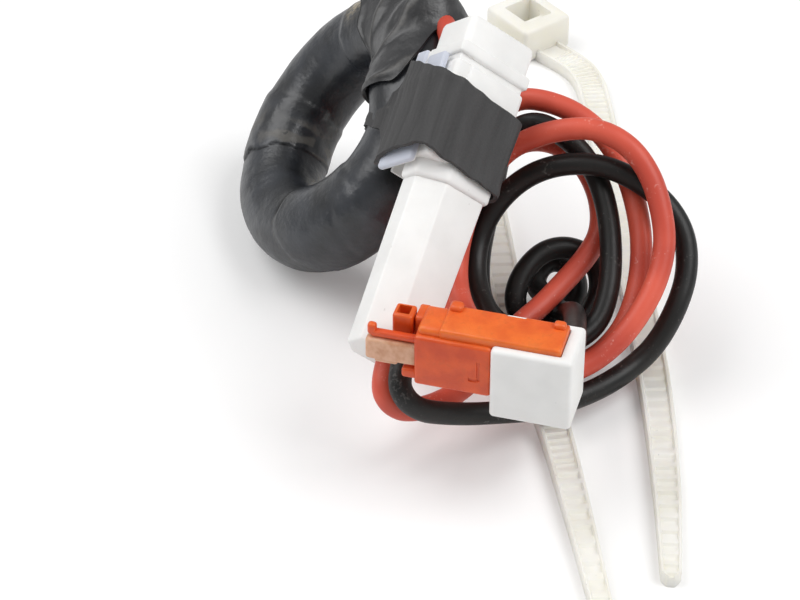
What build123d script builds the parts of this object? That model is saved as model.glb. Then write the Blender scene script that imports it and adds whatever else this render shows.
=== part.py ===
import os
from math import atan2, cos, degrees, radians, sin, tan

from build123d import *

# Ring: a taped toroidal current transformer leaning on its rim, millimetres
ring_lean_deg = 49.0
ring_heading_deg = 191.0
core_inner_radius = 6.7
core_outer_radius = 9.7
core_height = 3.0
case_wall = 0.4
winding_build = 0.6
wrap_build = 0.6
wrap_flat = 0.4
fit_gap = 0.05
lap_steps = [(112.0, 128.0, 0.14), (128.0, 168.0, 0.07)]
overrun = 1.0

# Sleeve of tape over the lead exit, with the lump of the two joints under it
sleeve_start_deg = -7.0
sleeve_end_deg = 60.0
sleeve_thickness = 0.45
sleeve_window_clear = 0.7
lump_deg = 2.0
lump_proud = 0.4
lump_radial = 3.0
lump_along = 4.2
lump_across = 4.4
lump_forward = 1.5
lump_round = 0.8
lead_rise = 0.5
lead_entry = -4.3
lead_drop = 1.7
lead_bow = 0.2
lead_places = {"lead_red": -1.1, "lead_black": 1.1}

# Mated connector pair, bound along the rim of the ring
pair_deg = -41.0
pair_gap = 4.5
pair_forward = 1.5
pair_along = 1.0
socket_rear = -5.2
socket_mouth = 7.1
shell_half_width = 3.0
block_step = 0.2
block_half_height = 2.05
block_end = -2.0
flange_end = -1.0
groove_end = -0.6
groove_depth = 0.25
shell_half_height = 2.2
rim_start = 5.6
rim_step = 0.15
rim_top = 2.4
rim_low = -3.6
hood_step = 0.1
hood_start = -1.4
hood_low_start = -4.3
hood_low_end = -5.2
hood_slot_top = -2.5
hood_slot_low = -3.5
hood_slot_wall = 0.8
edge_round = 0.3
plug_nose = 1.5
plug_end = 20.0
plug_step = 0.5
plug_half_height = 2.1
nose_step = 0.7
nose_half_height = 1.55
plug_chamfer = 0.8
lever_half_width = 1.3
lever_top = -3.3
lever_low = -4.4
lever_start = 4.6
lever_end = 13.4
lever_root = 1.4
contact_spacing = 2.1
contact_half = 0.5
pin_half = 0.3
pin_start = 2.2
contact_start = 8.0
receptacle_half = 0.6
receptacle_start = -1.6
receptacle_end = 6.0

# Tape band that binds the pair to the ring
band_start = -0.4
band_end = 5.5
band_thickness = 0.3
band_window_thickness = 0.13
band_leg_low = -3.4
band_near_deg = -43.0
band_far_deg = -79.0
band_round = 0.5
band_overlap = 1.2

# Wires
wire_diameter = 1.6
bend_share = 0.45
wire_in = 0.6

# Branch plug: orange body in a white collar, lying across the pair's end
branch_origin = (9.3, -31.8, -0.89)
branch_heading_deg = -15.8
collar_length = 5.5
collar_depth = 4.2
collar_height = 5.6
collar_wall = 0.6
collar_end_wall = 0.9
collar_floor = 0.8
collar_round = 0.25
body_start = -5.2
body_front = 0.3
body_back = 3.9
body_low = 1.4
body_top = 5.4
body_round = 0.2
arm_start = -3.6
arm_top = 6.1
arm_slope = 0.35
arm_bump = 0.35
arm_bump_length = 0.8
arm_bump_places = [-3.3, 3.6]
prong_start = -6.9
prong_front = 2.2
prong_low = 4.1
prong_top = 6.2
prong_hole = 0.35
hook_start = -8.5
hook_front = 0.6
hook_back = 1.2
hook_low = 4.55
hook_top = 5.0
hook_tip = 0.5
lock_start = -8.7
lock_end = -5.0
lock_front = 0.5
lock_back = 1.45
lock_low = 2.5
lock_top = 4.5
branch_contact_half = 0.45
branch_contact_start = -4.6
branch_contact_low = 2.2
branch_contact_high = 3.9
mark_depth = 0.15

# Nylon straps lying on the floor
strap_width = 2.5
strap_thickness = 1.1
strap_tip_width = 1.3
strap_head_length = 5.4
strap_head_width = 5.0
strap_head_height = 3.2
strap_slot_width = 2.7
strap_slot_length = 1.5
strap_rib = 0.3
strap_rib_width = 0.5
strap_rib_spacing = 1.3
strap_rib_count = 9

# Ring frame: z along the ring's axis, x up the slope
lean = radians(ring_lean_deg)
heading = radians(ring_heading_deg)
axis = Vector(sin(lean) * cos(heading), sin(lean) * sin(heading), cos(lean))
uphill = (Vector(0, 0, 1) - axis * axis.Z).normalized()
ring_frame = Plane(origin=(0, 0, 0), x_dir=uphill, z_dir=axis)
skin = case_wall + winding_build + wrap_build
window_radius = core_inner_radius - skin
rim_radius = core_outer_radius + skin
ring_height = core_height + 2 * skin
ring_mid_radius = (window_radius + rim_radius) / 2
ring_half = ring_height / 2
rim_half = (rim_radius - window_radius) / 2
ring_corner = min(ring_half, rim_half) - wrap_flat
section_reach = (rim_half - ring_corner) * sin(lean) + (ring_half - ring_corner) * cos(lean) + ring_corner
floor_height = -(ring_mid_radius * sin(lean) + section_reach)

# Pair frame: z along the connectors toward the plug end, y outward from the ring
pair_radius = rim_radius + pair_gap
block_half_width = shell_half_width - block_step
rim_half_width = shell_half_width + rim_step
hood_half_width = shell_half_width - hood_step
hood_slot_half_width = hood_half_width - hood_slot_wall
plug_half_width = shell_half_width - plug_step
nose_half_width = shell_half_width - nose_step
pair_turn = radians(pair_deg)
pair_out = ring_frame.x_dir * cos(pair_turn) + ring_frame.y_dir * sin(pair_turn)
pair_run = (axis * -1).cross(pair_out)
pair_origin = pair_out * pair_radius + axis * pair_forward + pair_run * pair_along
pair_frame = Plane(origin=pair_origin, x_dir=axis * -1, z_dir=pair_run)

# Branch frame: x along the plug, y away from its front, z up
branch_turn = radians(branch_heading_deg)
branch_frame = Plane(origin=branch_origin, x_dir=(cos(branch_turn), sin(branch_turn), 0), z_dir=(0, 0, 1))


def block(low, high):
    """Box between two corners."""
    size = [high[i] - low[i] for i in range(3)]
    return Pos(*low) * Box(*size, align=(Align.MIN, Align.MIN, Align.MIN))


def ring_section(inner, outer, height, corner):
    """Rounded section of a ring, in the plane through its axis."""
    return Pos((inner + outer) / 2, 0) * RectangleRounded(outer - inner, height, corner)


def turned(section, start=0.0, sweep_deg=360.0):
    """Section turned about the z axis."""
    return Rot(0, 0, start) * revolve(Plane.XZ * section, Axis.Z, sweep_deg)


def tube(points):
    """Round wire: straight runs joined by tangent arcs."""
    corners = [Vector(p) for p in points]
    radii = []
    for before, at, after in zip(corners, corners[1:], corners[2:]):
        turn = (at - before).get_angle(after - at)
        run = min((at - before).length, (after - at).length)
        radii.append(bend_share * run / tan(radians(turn) / 2))
    line = FilletPolyline(*corners, radius=radii)
    start = Plane(origin=line @ 0, z_dir=line % 0)
    solid = sweep(start * Circle(wire_diameter / 2), path=line)
    print("wire length", round(line.length, 1), "smallest radius", round(min(radii), 2),
          "volume ratio", round(solid.volume / (line.length * (start * Circle(wire_diameter / 2)).area), 3))
    return solid


def in_pair(points):
    """Points given in the pair's frame, in the part's frame."""
    return [pair_frame.from_local_coords(p) for p in points]


def in_branch(points):
    """Points given in the branch plug's frame, in the part's frame."""
    return [branch_frame.from_local_coords(p) for p in points]


parts = {}

# Core, case and winding, nested inside the tape
case_inner = core_inner_radius - case_wall
case_outer = core_outer_radius + case_wall
case_height = core_height + 2 * case_wall
coil_inner = case_inner - winding_build
coil_outer = case_outer + winding_build
coil_height = case_height + 2 * winding_build
core_corner = case_wall / 2
coil_corner = winding_build + case_wall
core_section = ring_section(core_inner_radius + fit_gap, core_outer_radius - fit_gap,
                            core_height - 2 * fit_gap, core_corner)
core_room = ring_section(core_inner_radius, core_outer_radius, core_height, core_corner)
case_section = ring_section(case_inner, case_outer, case_height, case_wall)
coil_section = ring_section(coil_inner, coil_outer, coil_height, coil_corner)
parts["magnetic_core"] = ring_frame * turned(core_section)
parts["core_case"] = ring_frame * turned(case_section - core_room)
parts["secondary_winding"] = ring_frame * turned(coil_section - case_section)

# Tape wrap round the winding, thicker where turns lap, pressed in under the band
flap_reach = ring_half + band_thickness
patch_span = band_near_deg - band_far_deg
wrap_section = ring_section(window_radius, rim_radius, ring_height, ring_corner)
patch_section = ring_section(window_radius, rim_radius, 2 * flap_reach, ring_corner)
patch_section -= ring_section(window_radius + band_window_thickness, rim_radius, ring_height, ring_corner)
beyond = Rectangle(rim_radius, 4 * flap_reach, align=(Align.MIN, Align.CENTER))
patch_section -= Pos(ring_mid_radius + band_overlap, 0) * beyond
patch = turned(patch_section, band_far_deg, patch_span)
ring_solid = turned(wrap_section)
for lap_from, lap_to, lap_rise in lap_steps:
    lap_section = ring_section(window_radius, rim_radius + lap_rise, ring_height + 2 * lap_rise, ring_corner)
    ring_solid += turned(lap_section, lap_from, lap_to - lap_from)
parts["ring_wrap"] = ring_frame * (ring_solid - turned(coil_section) - patch)

# Sleeve over the lead exit: a thicker arc with the lump of the joints
sleeve_section = ring_section(window_radius - sleeve_thickness, rim_radius + sleeve_thickness,
                              ring_height + 2 * sleeve_thickness, ring_corner + sleeve_thickness)
sleeve_inside = window_radius + sleeve_window_clear
sleeve_section -= Rectangle(2 * sleeve_inside, 4 * flap_reach)
sleeve = turned(sleeve_section - wrap_section, sleeve_start_deg, sleeve_end_deg - sleeve_start_deg)
lump_radius = rim_radius + lump_proud
lump = fillet(Box(lump_radial, lump_along, lump_across).edges(), lump_round)
sleeve += Rot(0, 0, lump_deg) * Pos(lump_radius, 0, lump_forward) * lump - ring_solid
parts["lead_sleeve"] = ring_frame * sleeve

# Short leads from the lump into the underside of the socket
lump_turn = radians(lump_deg - pair_deg)
lead_radius = lump_radius + lead_rise
lead_start = lump_along / 2 - wire_in
lead_out = lead_radius * cos(lump_turn) + lead_start * sin(lump_turn) - pair_radius
lead_back = -lead_radius * sin(lump_turn) + lead_start * cos(lump_turn) - pair_along
lead_low = -block_half_height - lead_drop
for name, across in lead_places.items():
    aside = across + lead_bow * across / abs(across)
    course = [(across, lead_out, lead_back),
              (aside, (lead_out + lead_low) / 2 + lead_bow, (lead_back + lead_entry) / 2),
              (aside, lead_low, lead_entry),
              (aside, -block_half_height, lead_entry)]
    parts[name] = tube(in_pair(course))
    parts["lead_sleeve"] -= parts[name]

# Long wires, from the rear of the plug round the loose loops to the branch plug
red_rear = [(0.7, -1.0, plug_end - wire_in), (0.7, -1.0, 21.5), (1.8, -1.0, 22.5), (3.6, -1.2, 22.3)]
red_loops = [
    (6.0, -24.8, -5.7), (7.8, -22.3, -6.5), (9.5, -19.8, -6.4), (10.8, -17.9, -5.6), (12.1, -16.5, -5.1),
    (13.6, -15.2, -4.6), (15.3, -13.5, -3.7), (16.9, -12.1, -2.6), (18.0, -10.6, -1.4), (18.0, -8.6, 0.0),
    (17.1, -6.8, 1.4), (15.6, -5.5, 2.4), (13.6, -4.6, 2.6), (11.6, -4.1, 1.6), (10.1, -4.1, -0.1),
    (9.0, -4.8, -2.1), (8.2, -6.5, -3.9), (7.6, -8.9, -5.5), (7.4, -11.3, -6.9), (8.4, -13.8, -7.9),
    (10.0, -16.2, -7.95), (12.2, -18.6, -7.2), (14.6, -19.1, -7.1), (17.1, -19.2, -6.5), (19.3, -17.8, -4.8),
    (20.4, -15.6, -3.0), (20.8, -13.0, -1.1), (20.5, -10.6, 0.7), (19.7, -8.4, 2.5), (18.3, -6.4, 4.0),
    (16.4, -4.9, 5.0), (14.2, -4.0, 5.5), (12.1, -3.3, 5.3), (10.3, -4.0, 4.3), (9.1, -5.5, 2.7),
    (8.4, -7.4, 0.7), (7.8, -9.1, -1.1), (7.3, -10.7, -3.0), (7.0, -12.4, -4.8), (7.5, -15.4, -5.4),
    (8.8, -20.3, -4.2), (11.0, -22.4, -4.5), (13.8, -22.3, -5.4), (16.4, -21.5, -5.1), (18.6, -20.2, -4.1),
    (20.2, -18.8, -2.7), (21.5, -17.1, -1.1), (22.2, -15.1, 0.7), (21.9, -13.3, 2.7), (21.1, -11.5, 4.5),
    (19.6, -10.0, 5.9), (17.3, -8.9, 6.5), (14.8, -8.7, 6.2), (12.8, -8.6, 5.4), (11.0, -8.4, 4.1),
    (9.5, -9.2, 2.3), (8.4, -10.6, 0.5), (7.7, -12.5, -1.2), (7.5, -14.8, -2.6), (7.9, -17.4, -3.1),
    (8.9, -20.8, -2.4), (10.4, -22.9, -1.3)]
red_end = [(0.4, 7.4, 0.8), (1.7, 6.0, 1.8), (1.8, collar_depth - wire_in / 2, 2.2)]
black_rear = [(0.5, 1.1, plug_end - wire_in), (0.5, 1.1, 21.5), (1.6, 1.05, 22.5), (3.2, 1.0, 22.6)]
black_loops = [
    (6.6, -27.3, -4.4), (8.4, -26.3, -5.3), (10.5, -25.3, -6.0), (13.1, -24.2, -6.7), (15.5, -23.0, -6.8),
    (17.8, -21.3, -7.0), (19.9, -19.5, -6.8), (21.7, -18.3, -5.6), (23.1, -16.9, -3.4), (23.9, -15.0, -1.7),
    (23.8, -13.0, 0.1), (22.5, -11.5, 1.8), (20.4, -10.5, 3.1), (17.9, -9.6, 3.8), (15.3, -9.3, 3.7),
    (13.1, -9.1, 2.8), (11.3, -9.2, 1.3), (9.8, -10.0, -0.5), (9.0, -11.4, -2.3), (8.9, -13.6, -3.5),
    (9.5, -16.2, -4.1), (10.7, -19.3, -3.8), (13.0, -19.6, -4.6), (15.3, -18.9, -5.2), (17.5, -17.5, -4.6),
    (18.4, -15.4, -2.9), (18.6, -13.1, -1.2), (18.4, -11.0, 0.5), (17.8, -9.0, 2.0), (16.6, -7.3, 3.3),
    (15.0, -6.1, 4.2), (13.3, -5.3, 4.6), (11.7, -5.3, 3.9), (10.7, -6.0, 2.1), (10.3, -7.2, 0.0),
    (9.8, -8.4, -2.0), (9.3, -9.9, -3.8), (9.2, -11.8, -5.3), (9.7, -13.7, -6.3), (11.4, -15.2, -7.0),
    (13.4, -16.1, -7.25), (15.6, -14.9, -7.8), (17.4, -13.5, -6.7), (18.2, -11.6, -5.4), (17.5, -10.3, -3.9),
    (15.6, -10.0, -3.1), (13.7, -10.5, -3.3), (12.2, -11.9, -4.4), (11.7, -13.2, -5.8), (12.5, -13.8, -7.2),
    (14.3, -12.7, -7.6), (16.0, -11.5, -7.8), (16.7, -9.8, -6.9), (15.8, -8.6, -5.6), (14.1, -9.0, -5.3),
    (13.2, -10.7, -5.9), (14.0, -12.5, -5.9), (15.2, -14.3, -6.05), (15.8, -16.6, -4.0), (15.7, -19.9, -2.0),
    (15.4, -23.4, -0.3)]
black_end = [(4.4, 6.2, 2.4), (4.2, collar_depth - wire_in / 2, 2.2)]
parts["cord_red"] = tube(in_pair(red_rear) + red_loops + in_branch(red_end))
parts["cord_black"] = tube(in_pair(black_rear) + black_loops + in_branch(black_end))
wires = [parts[name] for name in ("lead_red", "lead_black", "cord_red", "cord_black")]

# Contacts of the pair: pins of the plug in receptacles of the socket
pair_contacts = {}
for side, tone in ((-1, "black"), (1, "red")):
    centre = side * contact_spacing / 2
    pin = block((centre - pin_half, -pin_half, pin_start), (centre + pin_half, pin_half, contact_start))
    barrel = block((centre - contact_half, -contact_half, contact_start),
                   (centre + contact_half, contact_half, plug_end - wire_in))
    cup = block((centre - receptacle_half, -receptacle_half, receptacle_start),
                (centre + receptacle_half, receptacle_half, receptacle_end))
    cup -= block((centre - pin_half, -pin_half, pin_start),
                 (centre + pin_half, pin_half, receptacle_end + overrun))
    pair_contacts["plug_contact_" + tone] = pin + barrel
    pair_contacts["socket_contact_" + tone] = cup

# Plug housing: body with a bevelled corner, nose in the socket, latch lever below
plug = block((-plug_half_width, -plug_half_height, socket_mouth),
             (plug_half_width, plug_half_height, plug_end))
plug = chamfer(plug.edges().filter_by(Axis.Z).group_by(Axis.Y)[-1].sort_by(Axis.X)[0], plug_chamfer)
plug = fillet(plug.faces().sort_by(Axis.Z)[-1].edges(), edge_round)
plug += block((-nose_half_width, -nose_half_height, plug_nose),
              (nose_half_width, nose_half_height, socket_mouth + edge_round))
lever = block((-lever_half_width, lever_low, lever_start), (lever_half_width, lever_top, lever_end))
lever += block((-lever_half_width, lever_low, lever_end - lever_root),
               (lever_half_width, -plug_half_height + edge_round, lever_end))
plug += lever

# Socket housing: rear block, flange and groove, shell, mouth rim and latch hood
socket = block((-block_half_width, -block_half_height, socket_rear),
               (block_half_width, block_half_height, block_end))
socket = fillet(socket.edges().filter_by(Axis.Z), edge_round)
socket += block((-shell_half_width, -block_half_height, block_end),
                (shell_half_width, shell_half_height, flange_end))
socket += block((-shell_half_width + groove_depth, -block_half_height, flange_end),
                (shell_half_width - groove_depth, shell_half_height - groove_depth, groove_end))
socket += block((-shell_half_width, -block_half_height, groove_end),
                (shell_half_width, shell_half_height, rim_start))
socket += block((-rim_half_width, rim_low, rim_start), (rim_half_width, rim_top, socket_mouth))
hood_side = make_face(Polyline((hood_low_start, hood_start), (-block_half_height, hood_start),
                               (-block_half_height, socket_mouth),
                               (hood_low_end, socket_mouth), close=True))
hood_plane = Plane(origin=(-hood_half_width, 0, 0), x_dir=(0, 1, 0), z_dir=(1, 0, 0))
hood = extrude(hood_plane * hood_side, 2 * hood_half_width)
socket += hood
socket -= block((-hood_slot_half_width, hood_slot_low, hood_start - overrun),
                (hood_slot_half_width, hood_slot_top, lever_start - fit_gap))
socket -= block((-lever_half_width - groove_depth, lever_low - groove_depth, lever_start - fit_gap),
                (lever_half_width + groove_depth, lever_top + groove_depth, socket_mouth + overrun))
socket -= block((-nose_half_width, -nose_half_height, plug_nose),
                (nose_half_width, nose_half_height, socket_mouth + overrun))

for contact in pair_contacts.values():
    socket -= contact
    plug -= contact
pair_nodes = {"socket_housing": socket, "plug_housing": plug}
pair_nodes.update(pair_contacts)
for name, solid in pair_nodes.items():
    parts[name] = pair_frame * solid
for name in ("socket_housing", "plug_housing"):
    for wire in wires:
        parts[name] -= wire

# Tape band: over the pair, down both sides, and round the ring through its window
band_half = shell_half_width + fit_gap
band_top = shell_half_height + fit_gap
strap_out = block((-band_half - band_thickness, band_leg_low, band_start),
                  (band_half + band_thickness, band_top + band_thickness, band_end))
strap_out = fillet(strap_out.edges().filter_by(Axis.Z).group_by(Axis.Y)[-1], band_round)
band = strap_out - block((-band_half, band_leg_low - overrun, band_start - overrun),
                         (band_half, band_top, band_end + overrun))
for side in (-1, 1):
    ends = []
    for along, turn_deg in ((band_start, band_near_deg), (band_end, band_far_deg)):
        turn = radians(pair_deg - turn_deg)
        low = Vector(pair_forward + side * flap_reach, ring_mid_radius * cos(turn) - pair_radius,
                     ring_mid_radius * sin(turn) - pair_along)
        high = Vector(side * (band_half + band_thickness), band_leg_low + band_thickness, along)
        inward = Vector(-side * band_thickness, 0, 0)
        ends.append(make_face(Polyline(high, high + inward, low + inward, low, close=True)))
    band += loft(ends, ruled=True)
band = pair_frame * band - ring_frame * ring_solid
band += ring_frame * patch
for name in ("lead_sleeve", "socket_housing", "plug_housing"):
    band -= parts[name]
for wire in wires:
    band -= wire
parts["tape_band"] = band

# Branch plug: white collar, orange body with its latch arm and prongs, tan lock
collar = block((0, 0, 0), (collar_length, collar_depth, collar_height))
collar = fillet(collar.edges(), collar_round)
room_end = collar_length - collar_end_wall
collar -= block((-overrun, collar_wall, collar_floor),
                (room_end, collar_depth - collar_wall, collar_height + overrun))
body = block((body_start, body_front, body_low), (0, body_back, body_top))
body = fillet(body.edges(), body_round)
body += block((-collar_wall, collar_wall + fit_gap, body_low),
              (room_end - fit_gap, collar_depth - collar_wall - fit_gap, body_top))
arm_side = make_face(Polyline((arm_start, body_top - body_round),
                              (room_end - fit_gap, body_top - body_round),
                              (room_end - fit_gap, arm_top), (arm_start, arm_top - arm_slope), close=True))
arm_front = collar_wall + fit_gap
arm_plane = Plane(origin=(0, arm_front, 0), x_dir=(1, 0, 0), z_dir=(0, -1, 0))
body += extrude(arm_plane * arm_side, -(collar_depth - 2 * arm_front))
for place in arm_bump_places:
    body += block((place, body_back - arm_bump_length, arm_top - arm_slope - arm_bump),
                  (place + arm_bump_length, body_back - arm_bump, arm_top + arm_bump))
prong = block((prong_start, prong_front, prong_low), (body_start + body_round, body_back, prong_top))
prong -= block((prong_start + prong_hole, prong_front + prong_hole, prong_low + prong_hole),
               (body_start - prong_hole, body_back - prong_hole, prong_top + overrun))
body += prong
hook_side = make_face(Polyline((body_start + body_round, hook_low), (body_start + body_round, hook_top),
                               (hook_start, hook_top + hook_tip),
                               (hook_start, hook_top), close=True))
hook_plane = Plane(origin=(0, hook_front, 0), x_dir=(1, 0, 0), z_dir=(0, -1, 0))
body += extrude(hook_plane * hook_side, -(hook_back - hook_front))
body -= block((-collar_wall - 2 * mark_depth, body_front - overrun, body_low + collar_floor),
              (-collar_wall, body_front + mark_depth, body_top - collar_floor))
lock = block((lock_start, lock_front, lock_low), (lock_end, lock_back, lock_top))
lock = chamfer(lock.edges().filter_by(Axis.Y).group_by(Axis.X)[0], body_round)
body -= lock
branch_nodes = {"branch_plug_lock": lock}
for tone, height in (("red", branch_contact_high), ("black", branch_contact_low)):
    middle = (body_front + body_back) / 2
    contact = block((branch_contact_start, middle - branch_contact_half, height),
                    (room_end - collar_wall, middle + branch_contact_half, height + 2 * branch_contact_half))
    branch_nodes["branch_contact_" + tone] = contact
    body -= contact
branch_nodes["branch_plug_body"] = body
branch_nodes["branch_plug_collar"] = collar
for name, solid in branch_nodes.items():
    parts[name] = branch_frame * solid
for wire in wires:
    parts["branch_plug_collar"] -= wire

# Nylon straps: head box with a slot, flat strap, tapered tail with grip ribs
strap_courses = {
    "strap_long": [(15.9, 25.0), (18.8, 21.1), (19.7, 14.2), (20.6, 0.0),
                   (21.6, -17.0), (21.7, -29.2), (21.3, -39.0)],
    "strap_short": [(8.2, 21.0), (9.2, 14.5), (10.4, 3.0), (11.8, -11.1),
                    (14.0, -22.0), (15.3, -30.9), (16.9, -44.0)],
}
tail_shares = [1.0, 1.0, 1.0, 1.0, 0.95, 0.8, strap_tip_width / strap_width]
for name, course in strap_courses.items():
    left = []
    right = []
    for i, (x, y) in enumerate(course):
        before = Vector(*course[max(i - 1, 0)])
        after = Vector(*course[min(i + 1, len(course) - 1)])
        along = (after - before).normalized()
        half = strap_width * tail_shares[i] / 2
        left.append((x - along.Y * half, y + along.X * half))
        right.append((x + along.Y * half, y - along.X * half))
    outline = make_face([Spline(*left), Line(left[-1], right[-1]), Spline(*right), Line(right[0], left[0])])
    strap = extrude(outline, strap_thickness)
    first = Vector(*course[1]) - Vector(*course[0])
    head_turn = degrees(atan2(first.Y, first.X))
    head = block((-strap_head_length / 2, -strap_head_width / 2, 0),
                 (strap_head_length / 2, strap_head_width / 2, strap_head_height))
    head = fillet(head.edges(), edge_round)
    head -= block((-strap_slot_length, -strap_slot_width / 2, -overrun),
                  (0, strap_slot_width / 2, strap_head_height + overrun))
    strap += Pos(*course[0]) * Rot(0, 0, head_turn) * (Pos(-strap_head_length / 2, 0) * head)
    last = Vector(*course[-2]) - Vector(*course[-1])
    back = last.normalized()
    for i in range(strap_rib_count):
        at = Vector(*course[-1]) + back * (strap_rib_spacing * (i + 2))
        rib = Box(strap_rib_width, strap_tip_width, strap_rib, align=(Align.CENTER, Align.CENTER, Align.MIN))
        strap += Pos(at.X, at.Y, strap_thickness) * Rot(0, 0, degrees(atan2(back.Y, back.X))) * rib
    parts[name] = Pos(0, 0, floor_height) * strap

os.makedirs("parts", exist_ok=True)
for name, solid in parts.items():
    export_step(solid, "parts/" + name + ".step")
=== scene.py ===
from math import atan2, cos, degrees, exp, hypot, pi, radians, sin

import bpy
from mathutils import Matrix, Vector, noise


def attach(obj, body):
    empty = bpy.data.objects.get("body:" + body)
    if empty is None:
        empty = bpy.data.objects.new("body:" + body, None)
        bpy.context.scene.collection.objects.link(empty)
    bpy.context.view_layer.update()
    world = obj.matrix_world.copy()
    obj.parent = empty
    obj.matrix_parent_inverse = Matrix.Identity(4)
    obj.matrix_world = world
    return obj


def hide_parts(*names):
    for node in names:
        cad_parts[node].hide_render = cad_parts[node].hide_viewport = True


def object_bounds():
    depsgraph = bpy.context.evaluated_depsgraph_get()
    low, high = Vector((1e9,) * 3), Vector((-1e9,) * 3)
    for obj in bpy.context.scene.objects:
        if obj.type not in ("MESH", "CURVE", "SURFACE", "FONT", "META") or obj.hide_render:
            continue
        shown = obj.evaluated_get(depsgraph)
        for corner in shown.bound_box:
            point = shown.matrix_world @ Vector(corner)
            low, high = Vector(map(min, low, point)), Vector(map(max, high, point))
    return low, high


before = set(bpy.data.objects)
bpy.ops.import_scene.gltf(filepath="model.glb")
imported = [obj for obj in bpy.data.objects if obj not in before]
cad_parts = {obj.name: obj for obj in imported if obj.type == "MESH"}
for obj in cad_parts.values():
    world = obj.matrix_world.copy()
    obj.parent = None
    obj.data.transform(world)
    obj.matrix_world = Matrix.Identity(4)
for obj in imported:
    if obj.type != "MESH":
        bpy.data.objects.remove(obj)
cad_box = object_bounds()

# Core, case and winding: a ground iron ring in a moulded case under enamelled copper.
# They stay as the solids are, closed in by the tape.
mm = 0.001


class Shade:
    """A socket of a finish's node tree that takes part in Python arithmetic."""

    def __init__(self, tree, socket=None):
        self.tree = tree
        self.socket = socket

    def node(self, kind, settings, inputs, output=0):
        made = self.tree.nodes.new(kind)
        for name, value in settings.items():
            setattr(made, name, value)
        for name, value in inputs.items():
            if isinstance(value, Shade):
                self.tree.links.new(value.socket, made.inputs[name])
            else:
                made.inputs[name].default_value = value
        return Shade(self.tree, made.outputs[output] if len(made.outputs) else None)

    def math(self, operation, left, right):
        return self.node("ShaderNodeMath", {"operation": operation}, {0: left, 1: right})

    def __add__(self, other):
        return self.math("ADD", self, other)

    def __radd__(self, other):
        return self.math("ADD", other, self)

    def __mul__(self, other):
        return self.math("MULTIPLY", self, other)

    def __rmul__(self, other):
        return self.math("MULTIPLY", other, self)

    def step(self, low, high):
        """0 below low, 1 above high, smooth between."""
        return self.node("ShaderNodeMapRange", {"interpolation_type": "SMOOTHSTEP"},
                         {"Value": self, "From Min": low, "From Max": high})

    def grain(self, size_mm, detail=4.0):
        """Noise with features of about that size."""
        return self.node("ShaderNodeTexNoise", {},
                         {"Vector": self, "Scale": 1.0 / (size_mm * mm), "Detail": detail})

    def tint(self, first, second):
        """First colour where this is 0, second where it is 1."""
        first = first if isinstance(first, Shade) else (*first, 1.0)
        second = second if isinstance(second, Shade) else (*second, 1.0)
        return self.node("ShaderNodeMix", {"data_type": "RGBA"}, {0: self, 6: first, 7: second}, 2)

    def mark(self, name):
        """A number that the piece's own mesh carries."""
        return self.node("ShaderNodeAttribute", {"attribute_name": name}, {}, "Fac")


def new_finish(name):
    """An empty material, and the place on the piece that its patterns start from."""
    material = bpy.data.materials.new(name)
    material.use_nodes = True
    material.node_tree.nodes.clear()
    return material, Shade(material.node_tree).node("ShaderNodeTexCoord", {}, {}, "Object")


def lay_finish(where, colour, roughness, height=None, depth_mm=0.0, **fixed):
    """Principled shader from the finish's colour, roughness and height."""
    inputs = {"Base Color": colour, "Roughness": roughness}
    inputs.update({name.replace("_", " "): value for name, value in fixed.items()})
    if height is not None:
        inputs["Normal"] = where.node("ShaderNodeBump", {}, {"Height": height, "Distance": depth_mm * mm})
    shader = where.node("ShaderNodeBsdfPrincipled", {}, inputs)
    where.node("ShaderNodeOutputMaterial", {}, {"Surface": shader})


def inner_finish(name, dark, light, roughness, metal, grain_mm):
    """Plain two-tone finish of a closed-in piece."""
    material, where = new_finish(name)
    spots = where.grain(grain_mm)
    lay_finish(where, spots.tint(dark, light), roughness + 0.2 * spots, spots, 0.02, Metallic=metal)
    return material


def lay_inside(material, *names):
    """Gives solids that stay as they are their finish."""
    for name in names:
        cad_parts[name].data.materials.clear()
        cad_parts[name].data.materials.append(material)


iron = inner_finish("ground_iron", (0.14, 0.14, 0.15), (0.24, 0.24, 0.25), 0.4, 1.0, 0.6)
case_plastic = inner_finish("case_moulding", (0.05, 0.05, 0.05), (0.09, 0.09, 0.09), 0.5, 0.0, 0.4)
copper = inner_finish("enamelled_copper", (0.45, 0.2, 0.08), (0.65, 0.32, 0.15), 0.3, 1.0, 0.25)
lay_inside(iron, "magnetic_core")
lay_inside(case_plastic, "core_case")
lay_inside(copper, "secondary_winding")

# Ring wrap: black tape wound round the winding by hand, with two lapped turns and a dusty, worn lap.
# It is stretched on, so it follows the ring with shallow dents and a pressed edge at each lap.
ring_mid = 8.2
tube_half = 3.02
section_power = 2.35
ring_lean = radians(49.0)
ring_heading = radians(191.0)
ring_axis = Vector((sin(ring_lean) * cos(ring_heading), sin(ring_lean) * sin(ring_heading), cos(ring_lean)))
ring_uphill = (Vector((0, 0, 1)) - ring_axis * ring_axis.z).normalized()
ring_side = ring_axis.cross(ring_uphill)
ring_seat = Matrix((ring_uphill, ring_side, ring_axis)).transposed().to_4x4()
dusty_from, dusty_to, dusty_proud = 114.0, 150.0, 0.13
loose_from, loose_to, loose_proud = 217.0, 268.0, 0.13
under_to, under_proud = 60.0, 0.1
stain_turn, stain_height = 52.0, 62.0
bulge_turn, bulge_around, bulge_proud = 330.0, radians(112.0), 1.0
# The second turn is where painted shade darkens the tape under the pair.
crease_turn, shade_under_pair_turn = 252.0, 287.0
sleeve_ends = [
    (-180, 8), (-140, 30), (-90, 46), (60, 46), (81, 41), (108, 36), (129, 25), (140, 12), (180, 8)]


def rise(value, low, high):
    """Smooth step from 0 to 1."""
    share = min(1.0, max(0.0, (value - low) / (high - low)))
    return share * share * (3 - 2 * share)


def between(value, low, full, fade, high):
    """Smooth step up from low to full, and down again from fade to high."""
    return rise(value, low, full) * (1 - rise(value, fade, high))


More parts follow.
